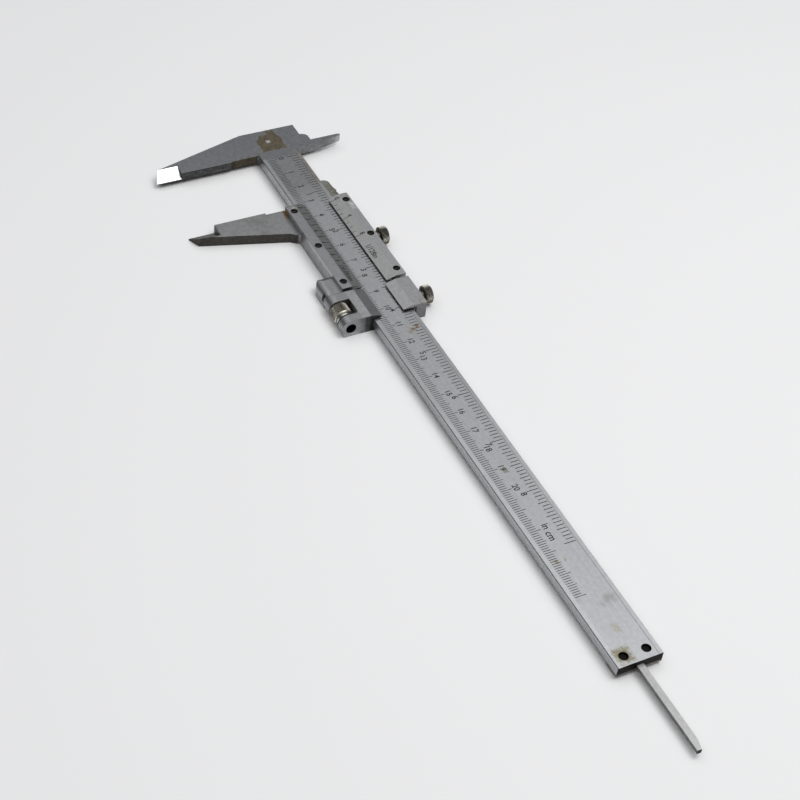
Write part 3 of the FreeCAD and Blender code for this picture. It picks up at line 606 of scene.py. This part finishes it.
@dataclass
class Beam:
    """Beam with the fixed jaws, its two main scales and the end plate."""

    zero: float = 4.33
    face: float = 3.35
    field_low: float = -6.45
    field_high: float = 6.5
    end_hole: tuple[float, float] = (280.6, 4.25)
    metric_lines: Lines = ((10, 4.3), (5, 3.6), (1, 3.0))
    metric_width: float = 0.24
    millimetres: int = 250
    last_centimetre: int = 20
    centimetre_row: float = -0.6
    inch: float = 25.4
    inch_parts: int = 16
    inch_lines: Lines = ((16, 4.5), (8, 4.0), (4, 3.6), (2, 3.2), (1, 2.8))
    inch_width: float = 0.30
    inches: int = 9
    last_inch: int = 8
    inch_row: float = 0.5
    inch_shift: float = 0.53
    figure: float = 2.3
    legend: float = 2.7
    centimetre_legend: tuple[float, float] = (223.8, -0.45)
    inch_legend: tuple[float, float] = (219.4, 0.0)

    def finish(self) -> SteelFinish:
        """Worn ground steel with the rust and polish of this beam, painted highlights along its edges, and
        painted shade on the jaw's walls, the end face and the holes.
        """
        along, aside = self.end_hole
        return SteelFinish(
            "ground_beam_steel", (0.375, 0.382, 0.395), (0.47, 0.475, 0.485), 0.36,
            stain_cover=0.25, pit_cover=0.15,
            patches=(
                # the field by the head, painted highlights along both long edges, and a stretch where they
                # are dimmer
                Patch((10, 0, 3.4), (20, 8.6, 0.5), (0.30, 0.305, 0.315), 0.38,
                      metal=1.0, ragged=0.1, soft=0.5, strength=0.8, mottle=0.12),
                Patch((142, -7.75, 3.5), (143, 0.95, 0.45), (0.51, 0.515, 0.525), 0.30,
                      metal=1.0, ragged=0.03, soft=0.06, strength=0.85, mottle=0.08),
                Patch((142, 7.7, 3.5), (143, 0.85, 0.45), (0.46, 0.465, 0.475), 0.32,
                      metal=1.0, ragged=0.03, soft=0.10, strength=0.8, mottle=0.08),
                Patch((128, -8.0, 2.2), (36, 1.25, 1.9), (0.41, 0.415, 0.425), 0.34,
                      metal=1.0, ragged=0.05, soft=0.25, strength=0.6, mottle=0.08),
                Patch((128, 7.9, 3.4), (36, 1.15, 0.6), (0.36, 0.365, 0.375), 0.34,
                      metal=1.0, ragged=0.05, soft=0.25, strength=0.6, mottle=0.08),
                # head, painted shade on the jaw's walls, and the blade
                Patch((-11, -12, 3.4), (14, 42.5, 0.5), (0.265, 0.272, 0.285), 0.38,
                      metal=1.0, ragged=0.02, soft=0.03, strength=0.95, mottle=0.15),
                Patch((-6.4, -31, 1.6), (6.5, 22, 1.72), (0.015, 0.014, 0.013), 0.5,
                      metal=0.9, ragged=0.03, soft=0.03, strength=0.99, mottle=0.6),
                Patch((1.0, 19, 1.5), (3.2, 11, 1.75), (0.20, 0.20, 0.20), 0.40,
                      metal=0.9, ragged=0.9, soft=0.2, strength=0.8),
                # crust on the head, with a bright nick in it
                Patch((-6.3, -0.5, 3.5), (4.5, 5.5, 0.6), OLD_RUST, 0.78,
                      ragged=0.62, soft=0.07, strength=0.97, bite=2.5),
                Patch((-11.2, 0.2, 3.5), (1.9, 4.0, 0.6), OLD_RUST, 0.78,
                      soft=0.05, strength=0.97, bite=2.5),
                Patch((-13.9, 2.0, 3.5), (1.5, 1.7, 0.6), OLD_RUST, 0.78,
                      ragged=0.6, soft=0.08, strength=0.97, bite=2.5),
                Patch((-8.3, -1.0, 3.5), (0.9, 0.9, 0.8), (0.62, 0.62, 0.60), 0.4, metal=0.9, ragged=0.3),
                # stain by the head, rust at the jaw's root and the polished tip
                Patch((14, 8.0, 3.4), (12, 1.5, 0.8), (0.17, 0.15, 0.12), 0.65,
                      metal=0.35, ragged=1.1, soft=0.35, strength=0.75),
                Patch((0.0, -14.5, 1.4), (1.2, 5.8, 2.0), OLD_RUST, 0.75,
                      metal=0.15, ragged=1.8, soft=0.2, strength=0.85, bite=1.5),
                Patch((-2.6, -48, 2.0), (2.65, 5.4, 1.7), (0.55, 0.555, 0.565), 0.28,
                      metal=1.0, ragged=0.0, soft=0.02, strength=0.97, mottle=0.03),
                # spots along the scales
                Patch((117.5, 5.2, 3.4), (0.9, 0.7, 0.5), RUST, 0.8, ragged=1.2, soft=0.3, strength=0.9),
                Patch((119.8, 1.2, 3.4), (0.9, 0.5, 0.5), (0.26, 0.19, 0.10), 0.7,
                      metal=0.2, ragged=1.4, soft=0.3, strength=0.7),
                Patch((118.8, 3.0, 3.4), (1.0, 1.2, 0.5), (0.26, 0.19, 0.10), 0.7,
                      metal=0.3, ragged=1.8, soft=0.3, strength=0.6),
                Patch((196.0, 0.1, 3.4), (1.0, 0.9, 0.4), (0.20, 0.185, 0.13), 0.6,
                      metal=0.5, ragged=1.5, soft=0.4, strength=0.6),
                Patch((238.7, -4.3, 3.4), (0.9, 0.6, 0.4), (0.33, 0.27, 0.12), 0.6,
                      metal=0.3, ragged=1.5, soft=0.4, strength=0.8),
                Patch((238.9, -1.2, 3.4), (0.6, 0.4, 0.4), (0.33, 0.27, 0.12), 0.6,
                      metal=0.3, ragged=1.5, soft=0.4, strength=0.6),
                # spots by the beam's end, then painted shade on its end face and in its holes
                Patch((280.2, -4.2, 3.4), (2.6, 2.6, 0.6), (0.24, 0.21, 0.09), 0.6,
                      metal=0.3, ragged=1.6, soft=0.5, strength=0.85),
                Patch((270, -0.4, 3.4), (1.8, 1.1, 0.4), (0.36, 0.33, 0.24), 0.5,
                      metal=0.5, ragged=1.6, soft=0.5, strength=0.5),
                Patch((285.2, 0, 1.5), (1.0, 9, 1.85), PAINTED_SHADE_BLACK, 0.6, metal=1.0, ragged=0.02, soft=0.03),
                *(Patch((along, side, 1.6), (1.75, 1.75, 1.66), PAINTED_SHADE_BLACK, 0.6, metal=1.0, ragged=0.0, soft=0.02)
                  for side in (aside, -aside)),
            ))

    def engraving(self, name: str) -> Engraving:
        """Starts the marks of one scale on the beam's face."""
        return Engraving(name, "beam", "beam_steel", Vector((self.zero, 0.0, self.face)), Vector((0, 1, 0)))

    def metric_scale(self, ink: bpy.types.Material) -> bpy.types.Object:
        """Engraves the millimetre lines and the centimetre figures."""
        marks = self.engraving("metric_scale")
        for number in range(self.millimetres + 1):
            high = self.field_low + line_length(self.metric_lines, number)
            marks.tick(float(number), self.field_low, high, self.metric_width)
        for number in range(self.last_centimetre + 1):
            marks.text(str(number), 10.0 * number, self.centimetre_row, self.figure)
        marks.text("cm", *self.centimetre_legend, self.legend)
        return marks.finish(ink)

    def inch_scale(self, ink: bpy.types.Material) -> bpy.types.Object:
        """Engraves the sixteenths of an inch and the inch figures."""
        marks = self.engraving("inch_scale")
        for number in range(self.inches * self.inch_parts + 1):
            low = self.field_high - line_length(self.inch_lines, number)
            marks.tick(number * self.inch / self.inch_parts, low, self.field_high, self.inch_width)
        for number in range(1, self.last_inch + 1):
            marks.text(str(number), self.inch * number + self.inch_shift, self.inch_row, self.figure)
        marks.text("in", *self.inch_legend, self.legend)
        return marks.finish(ink)

    def build(self, nodes: Nodes, ink: bpy.types.Material, black: bpy.types.Material) -> None:
        """Dresses the beam's nodes and engraves its scales."""
        dress(nodes, ("beam",), self.finish().material())
        plate = SteelFinish("end_plate_steel", (0.13, 0.125, 0.12), (0.24, 0.235, 0.23), 0.5,
                            Grain.ACROSS_BEAM, stain_cover=0.6)
        dress(nodes, ("end_plate",), plate.material())
        dress(nodes, ("end_plate_screws",), black)
        self.metric_scale(ink)
        self.inch_scale(ink)


@dataclass
class Slider:
    """Slider with the moving jaw, its two vernier plates, the depth rod and the stud.

    An edge and a ridge are (Y, Z) places: a plate's bevel rises from the one to the other.
    """

    measuring_face: float = 34.8
    zero: float = 39.13
    lip: float = 0.12
    inch_edge: tuple[float, float] = (5.65, 4.4)
    inch_ridge: tuple[float, float] = (10.1, 5.5)
    inch_pitch: float = 2.977
    inch_parts: int = 8
    inch_lines: Lines = ((4, 2.4), (1, 1.6))
    inch_width: float = 0.24
    inch_figures: tuple[int, ...] = (0, 4, 8)
    inch_shift: float = -0.4
    inch_row: float = 3.2
    inch_legend: tuple[float, float] = (34.5, 2.0)
    metric_edge: tuple[float, float] = (-4.8, 4.4)
    metric_ridge: tuple[float, float] = (-9.0, 5.5)
    metric_pitch: float = 1.95
    metric_parts: int = 20
    metric_lines: Lines = ((2, 2.2), (1, 1.5))
    metric_width: float = 0.26
    metric_figures: tuple[int, ...] = tuple(range(11))
    metric_shift: float = 0.2
    metric_row: float = 1.1
    metric_legend: tuple[float, float] = (44.2, 1.6)
    head_top: float = 5.2
    slot_width: float = 0.34
    slot_depth: float = 0.02
    slot_reaches: tuple[float, ...] = (0.85, 0.75, 0.95)

    def body_finish(self) -> SteelFinish:
        """Dull ground steel, rusty at the jaw's root and where the blade broke off, with painted shade on the
        jaw's wall and on the end of the lower rail.
        """
        face = self.measuring_face
        return SteelFinish(
            "ground_slider_steel", (0.27, 0.272, 0.278), (0.37, 0.373, 0.378), 0.40, Grain.EVEN,
            stain=(0.185, 0.18, 0.165), stain_cover=0.5, pit_cover=0.35,
            patches=(
                # painted shade on the wall of the moving jaw, rust at its root and on the broken blade
                Patch((face + 11.5, -33.6, 0.0), (13, 20, 2.42), (0.052, 0.046, 0.038), 0.5,
                      metal=0.75, ragged=0.05, soft=0.03, strength=0.93),
                Patch((face + 2.5, -13.3, 1.5), (3.6, 0.9, 2.2), RUST, 0.8,
                      metal=0.15, ragged=1.5, soft=0.4, strength=0.9, bite=1.5),
                Patch((face - 7.2, 14.0, -1.0), (3.2, 1.4, 1.6), (0.15, 0.12, 0.08), 0.85,
                      metal=0.15, ragged=0.9, soft=0.25, strength=0.8, bite=3.0),
                Patch((face - 6.0, 12.0, -0.6), (8.5, 2.0, 0.9), (0.19, 0.18, 0.14), 0.6,
                      metal=0.6, ragged=1.3, soft=0.4, strength=0.7),
                # the jaw's tip, and painted shade on the end of the lower rail
                Patch((face + 3.0, -48, 0.4), (3.8, 5.6, 2.6), (0.06, 0.055, 0.05), 0.45,
                      metal=0.7, ragged=0.25, soft=0.15, strength=0.9),
                Patch((face + 54.5, -19.4, 1.6), (0.9, 1.6, 1.5), PAINTED_SHADE_BLACK, 0.6,
                      metal=1.0, ragged=0.6, soft=0.2, strength=0.9),
            ))

    def plate_finish(self) -> SteelFinish:
        """Brighter ground steel of the two vernier plates."""
        return SteelFinish(
            "vernier_plate_steel", (0.37, 0.373, 0.38), (0.50, 0.503, 0.51), 0.34,
            stain_cover=0.32, pit_cover=0.3,
            patches=(
                # bright wear, then the plates' bevels and flats
                Patch((45.3, 12.5, 5.5), (2.2, 1.0, 0.4), (0.82, 0.82, 0.80), 0.34,
                      metal=1.0, ragged=1.1, soft=0.35, strength=0.85),
                Patch((64, 7.7, 4.9), (30, 2.4, 0.62), (0.345, 0.345, 0.34), 0.42,
                      metal=1.0, ragged=0.05, soft=0.06, strength=0.85, mottle=0.12),
                Patch((64, -11.2, 5.5), (30, 2.2, 0.4), (0.32, 0.323, 0.335), 0.40,
                      metal=1.0, ragged=0.05, soft=0.06, strength=0.8, mottle=0.12),
                Patch((39.3, -9.8, 5.5), (0.9, 1.0, 0.6), (0.62, 0.60, 0.56), 0.45,
                      metal=0.9, ragged=1.0, soft=0.3, strength=0.9),
                # painted shade on the metric plate's bevel, which faces away from the light
                Patch((62, -7.2, 4.9), (26, 2.3, 0.8), (0.30, 0.297, 0.29), 0.42,
                      metal=0.9, soft=0.5, strength=0.5, mottle=0.3),
                # rust under the lower plate
                Patch((39.0, -13.0, 4.6), (2.2, 0.7, 0.8), RUST, 0.8,
                      metal=0.15, ragged=1.4, soft=0.4, strength=0.8),
            ))

    def rod_finish(self) -> SteelFinish:
        """Drawn steel with painted shade on its tip and along its lower edge."""
        return SteelFinish(
            "drawn_rod_steel", (0.30, 0.30, 0.30), (0.42, 0.42, 0.42), 0.42, stain_cover=0.2, pit_cover=0.4,
            patches=(
                # painted shade on the rod's end face, then along its lower side
                Patch((319.4, 0, 0.8), (0.55, 2, 2), PAINTED_SHADE_BLACK, 0.6, metal=1.0, soft=0.2, strength=0.95),
                Patch((300, -1.5, 0.8), (40, 0.35, 1), (0.10, 0.10, 0.10), 0.5,
                      metal=0.8, ragged=0.1, soft=0.15, strength=0.7),
            ))

    def inch_vernier(self, ink: bpy.types.Material) -> bpy.types.Object:
        """Engraves the vernier that reads to 1/128 inch."""
        start = Vector((self.zero, *self.inch_edge))
        rise = Vector((self.zero, *self.inch_ridge)) - start
        marks = Engraving("inch_vernier_marks", "slider", "plate_steel", start, rise)
        for number in range(self.inch_parts + 1):
            high = line_length(self.inch_lines, number)
            marks.tick(number * self.inch_pitch, self.lip, high, self.inch_width)
        for number in self.inch_figures:
            marks.text(str(number), number * self.inch_pitch + self.inch_shift, self.inch_row, size=2.0)
        marks.text("1/128in", *self.inch_legend, size=2.2)
        return marks.finish(ink)

    def metric_vernier(self, ink: bpy.types.Material) -> bpy.types.Object:
        """Engraves the vernier that reads to 0.05 mm."""
        start = Vector((self.zero, *self.metric_ridge))
        fall = Vector((self.zero, *self.metric_edge)) - start
        marks = Engraving("metric_vernier_marks", "slider", "plate_steel", start, fall)
        top = fall.length - self.lip
        for number in range(self.metric_parts + 1):
            low = top - line_length(self.metric_lines, number)
            marks.tick(number * self.metric_pitch, low, top, self.metric_width)
        for number in self.metric_figures:
            at = 2 * number * self.metric_pitch + self.metric_shift
            marks.text(str(number), at, self.metric_row, size=1.9, narrow=0.8)
        marks.text("0.05mm", *self.metric_legend, size=2.0)
        return marks.finish(ink)

    def screw_slots(self, dark: bpy.types.Material) -> bpy.types.Object:
        """Paints a dark bar across each plate screw, as painted shade standing for a driver slot."""
        top = Vector((0, 0, self.head_top))
        slots = Engraving("plate_screw_slots", "slider", "dark_screw", top, Vector((0, 1, 0)),
                          depth=self.slot_depth)
        for node in ("inch_plate_screws", "metric_plate_screws"):
            low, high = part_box(node)
            side = (low.y + high.y) / 2 / MM
            radius = (high.y - low.y) / 2 / MM
            first = low.x / MM + radius
            last = high.x / MM - radius
            for number, reach in enumerate(self.slot_reaches):
                along = first + (last - first) * number / (len(self.slot_reaches) - 1)
                slots.tick(along, side - radius * reach, side + radius * reach, self.slot_width)
        return slots.finish(dark)

    def build(self, nodes: Nodes, ink: bpy.types.Material, black: bpy.types.Material) -> None:
        """Dresses the slider's nodes and engraves its verniers."""
        dress(nodes, ("slider_body",), self.body_finish().material())
        dress(nodes, ("inch_vernier_plate", "metric_vernier_plate"), self.plate_finish().material())
        dress(nodes, ("inch_plate_screws", "metric_plate_screws", "gib_set_screws", "stud_lock_pin",
                      "depth_rod_pins"), black)
        spring = SteelFinish("gib_spring_steel", (0.16, 0.16, 0.18), (0.28, 0.28, 0.30), 0.38,
                             stain_cover=0.5)
        dress(nodes, ("slider_gib", "carriage_gib"), spring.material())
        dress(nodes, ("depth_rod",), self.rod_finish().material())
        self.inch_vernier(ink)
        self.metric_vernier(ink)
        self.screw_slots(ink)


@dataclass
class FineAdjustment:
    """Carriage, its nut and stud, and the two thumb screws."""

    nut_middle: float = 99.85
    nut_axis: tuple[float, float] = (-17.6, 1.75)
    collar_start: float = 102.7
    thumb_places: tuple[float, float] = (63.0, 101.3)
    grip_crest: float = 3.7

    def knurled_finish(self) -> SteelFinish:
        """Knurled steel with painted shade in its grooves and on the heads' faces towards the slider."""
        return SteelFinish(
            "knurled_thumb_steel", (0.24, 0.225, 0.195), (0.43, 0.405, 0.36), 0.42, Grain.EVEN,
            stain=(0.10, 0.09, 0.075), stain_size=4.0, stain_cover=0.55, pit_cover=0.5,
            # painted shade on each head's face towards the slider
            patches=tuple(
                Patch((place, 15.6, 1.8), (4.5, 0.62, 4.5), (0.085, 0.075, 0.06), 0.42,
                      metal=0.9, ragged=0.15, soft=0.15, strength=0.9)
                for place in self.thumb_places),
            knurls=tuple(
                Knurl(axis=(0.0, 1.0, 0.0), middle=(place, 17.65, 1.8), half_length=1.3,
                      crest=self.grip_crest)
                for place in self.thumb_places))

    def nut_finish(self) -> SteelFinish:
        """Knurled steel with a polished collar, painted shade at the collar's end and in the grooves, and a
        little rust.
        """
        return SteelFinish(
            "knurled_nut_steel", (0.44, 0.42, 0.365), (0.68, 0.65, 0.585), 0.34, Grain.EVEN,
            stain=(0.11, 0.095, 0.07), stain_size=4.0, stain_cover=0.3, pit_cover=0.5,
            patches=(
                Patch((self.collar_start + 0.6, *self.nut_axis), (0.75, 5, 5), (0.25, 0.24, 0.20), 0.36,
                      metal=1.0, ragged=0.05, soft=0.1, strength=0.95, mottle=0.2),
                Patch((self.collar_start + 1.0, *self.nut_axis), (0.25, 5, 5), (0.60, 0.60, 0.58), 0.20,
                      metal=1.0, ragged=0.05, soft=0.2, strength=0.95, mottle=0.1),
                # painted shade in the gap at the collar's end
                Patch((self.collar_start + 1.75, *self.nut_axis), (0.32, 5, 5), PAINTED_SHADE_BLACK, 0.55,
                      metal=0.9, ragged=0.05, soft=0.1, strength=0.95),
                Patch((99.2, -20.6, 2.4), (1.1, 0.9, 1.1), RUST, 0.75,
                      metal=0.2, ragged=1.8, soft=0.5, strength=0.6),
            ),
            knurls=(Knurl(axis=(1.0, 0.0, 0.0), middle=(self.nut_middle, *self.nut_axis), half_length=2.4,
                          crest=self.grip_crest),))

    def block_finish(self) -> SteelFinish:
        """Ground steel of the carriage, with painted shade on its end and round the nut."""
        return SteelFinish(
            "ground_carriage_steel", (0.33, 0.333, 0.34), (0.45, 0.453, 0.46), 0.36, Grain.EVEN,
            stain_cover=0.35, pit_cover=0.3,
            patches=(
                # painted shade on the end under the rail, then on the end over it, darkest under the overhang
                Patch((109.2, -8.2, 1.6), (0.62, 5.7, 3.85), (0.13, 0.13, 0.13), 0.5,
                      metal=0.9, ragged=0.1, soft=0.1, strength=0.55),
                Patch((109.2, -7.2, 1.6), (0.62, 4.5, 3.85), (0.075, 0.075, 0.078), 0.5,
                      metal=0.9, ragged=0.1, soft=0.1, strength=0.7),
                Patch((109.2, -6.2, 1.6), (0.62, 3.5, 3.85), (0.045, 0.045, 0.048), 0.5,
                      metal=0.9, ragged=0.1, soft=0.1, strength=0.8),
                Patch((109.2, 7.0, 1.6), (0.62, 8.0, 3.7), (0.19, 0.19, 0.195), 0.45,
                      metal=1.0, ragged=0.1, soft=0.1, strength=0.9, mottle=0.2),
                Patch((109.2, 6.6, 4.1), (0.45, 2.2, 0.8), PAINTED_SHADE_BLACK, 0.6,
                      metal=0.9, ragged=0.05, soft=0.08, strength=0.92),
                # faces beside the nut and above the beam
                Patch((100.7, -17.3, 3.0), (9, 4.4, 3.5), (0.30, 0.305, 0.31), 0.40,
                      metal=1.0, ragged=0.1, soft=0.1, strength=0.8, mottle=0.12),
                Patch((100.7, 6.2, 4.9), (9, 2.3, 0.65), (0.36, 0.36, 0.36), 0.40,
                      metal=1.0, ragged=0.05, soft=0.08, strength=0.85, mottle=0.12),
                # painted shade in the yoke's hole and in the gap beside the nut, then wear at a corner
                Patch((104.8, *self.nut_axis), (3.95, 2.1, 2.1), PAINTED_SHADE_BLACK, 0.6, metal=1.0, ragged=0.0, soft=0.02),
                Patch((104.72, -17.9, 1.75), (0.46, 4.2, 5), PAINTED_SHADE_BLACK, 0.6,
                      metal=0.9, ragged=0.05, soft=0.1, strength=0.9),
                Patch((107.5, 12.5, 4.8), (1.2, 1.4, 1.2), (0.42, 0.40, 0.36), 0.5,
                      metal=0.8, ragged=1.2, soft=0.4, strength=0.6),
            ))

    def build(self, nodes: Nodes) -> None:
        """Dresses the fine adjustment's nodes."""
        dress(nodes, ("carriage_body",), self.block_finish().material())
        dress(nodes, ("slider_clamp_screw", "carriage_clamp_screw"), self.knurled_finish().material())
        dress(nodes, ("fine_adjust_nut", "fine_adjust_stud"), self.nut_finish().material())


@dataclass
class Studio:
    """Pale floor, soft light and the camera."""

    floor_tone: float = 0.785
    floor_blue: float = 1.003
    floor_roughness: float = 0.9
    floor_sheen: float = 0.1
    floor_half: float = 4.0
    sky_low: float = 0.11
    sky_high: float = 1.18
    sky_edge: tuple[float, float] = (0.56, 0.72)
    sky_colour: Colour = (0.985, 0.99, 1.0)
    backdrop: float = 0.72
    lamp_energy: float = 2.7
    lamp_place: Point = (0.29, 0.24, 0.80)
    lamp_size: float = 0.46
    lamp_aim: Point = (0.12, 0.0, 0.0)
    eye: Point = (0.5325, -0.2480, 0.4283)
    turn: tuple[float, float, float, float] = (0.772524, 0.353163, 0.173122, 0.49851)
    lens: float = 77.67
    sensor: float = 36.0
    clip: tuple[float, float] = (0.02, 20.0)

    def floor(self, height: float) -> bpy.types.Object:
        """Adds the floor under the object's lowest point."""
        mesh = bmesh.new()
        bmesh.ops.create_grid(mesh, x_segments=1, y_segments=1, size=self.floor_half)
        bmesh.ops.translate(mesh, vec=(0.0, 0.0, height), verts=mesh.verts)
        data = bpy.data.meshes.new("floor")
        mesh.to_mesh(data)
        mesh.free()
        made = bpy.data.objects.new("floor", data)
        bpy.context.scene.collection.objects.link(made)
        material = bpy.data.materials.new("pale_paper")
        material.use_nodes = True
        shader = material.node_tree.nodes["Principled BSDF"]
        tone = self.floor_tone
        shader.inputs["Base Color"].default_value = (tone, tone, tone * self.floor_blue, 1.0)
        shader.inputs["Roughness"].default_value = self.floor_roughness
        shader.inputs["Specular IOR Level"].default_value = self.floor_sheen
        data.materials.append(material)
        made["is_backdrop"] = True
        return made

    def sky(self) -> None:
        """Lights the scene from all round, brighter overhead, behind a plain pale backdrop."""
        world = bpy.data.worlds.new("soft_room")
        bpy.context.scene.world = world
        world.use_nodes = True
        graph = Graph(world.node_tree)
        back = world.node_tree.nodes["Background"]
        parts = graph.node("ShaderNodeSeparateXYZ")
        graph.feed(parts.inputs[0], graph.node("ShaderNodeTexCoord").outputs["Generated"])
        level = graph.span(parts.outputs[2], *self.sky_edge, self.sky_low, self.sky_high)
        seen = graph.node("ShaderNodeLightPath").outputs["Is Camera Ray"]
        graph.feed(back.inputs["Strength"], graph.lerp(seen, level, self.backdrop))
        back.inputs["Color"].default_value = (*self.sky_colour, 1.0)

    def lamp(self) -> None:
        """Adds one large soft lamp overhead."""
        data = bpy.data.lights.new("softbox", "AREA")
        data.shape = "SQUARE"
        data.size = self.lamp_size
        data.energy = self.lamp_energy
        made = bpy.data.objects.new("softbox", data)
        bpy.context.scene.collection.objects.link(made)
        made.location = self.lamp_place
        aim = Vector(self.lamp_aim) - Vector(self.lamp_place)
        made.rotation_euler = aim.to_track_quat("-Z", "Y").to_euler()

    def camera(self) -> None:
        """Adds the camera."""
        data = bpy.data.cameras.new("camera")
        data.lens = self.lens
        data.sensor_width = self.sensor
        data.clip_start, data.clip_end = self.clip
        made = bpy.data.objects.new("camera", data)
        bpy.context.scene.collection.objects.link(made)
        made.location = self.eye
        made.rotation_mode = "QUATERNION"
        made.rotation_quaternion = Quaternion(self.turn)
        bpy.context.scene.camera = made

    def build(self, height: float) -> None:
        """Sets the whole stage up.

        Args:
            height: The floor's height, in metres.
        """
        self.floor(height)
        self.sky()
        self.lamp()
        self.camera()
        bpy.context.scene.view_settings.view_transform = "Standard"


def main() -> None:
    """Loads the frame, dresses it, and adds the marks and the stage."""
    logging.basicConfig(level=logging.INFO)
    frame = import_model()
    cad_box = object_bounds()
    nodes = frame["nodes"]
    ink = DarkFinish("worn_scale_ink", (0.020, 0.018, 0.016), (0.10, 0.095, 0.09), 0.6,
                     wear_size=9.0, wear_cover=0.15).material()
    black = DarkFinish("blackened_screw", (0.006, 0.006, 0.006), (0.020, 0.018, 0.016), 0.55,
                       wear_size=2.0, wear_cover=0.05, gloss=0.03).material()
    Beam().build(nodes, ink, black)
    Slider().build(nodes, ink, black)
    FineAdjustment().build(nodes)
    Studio().build(cad_box[0].z)


if __name__ == "__main__":
    main()
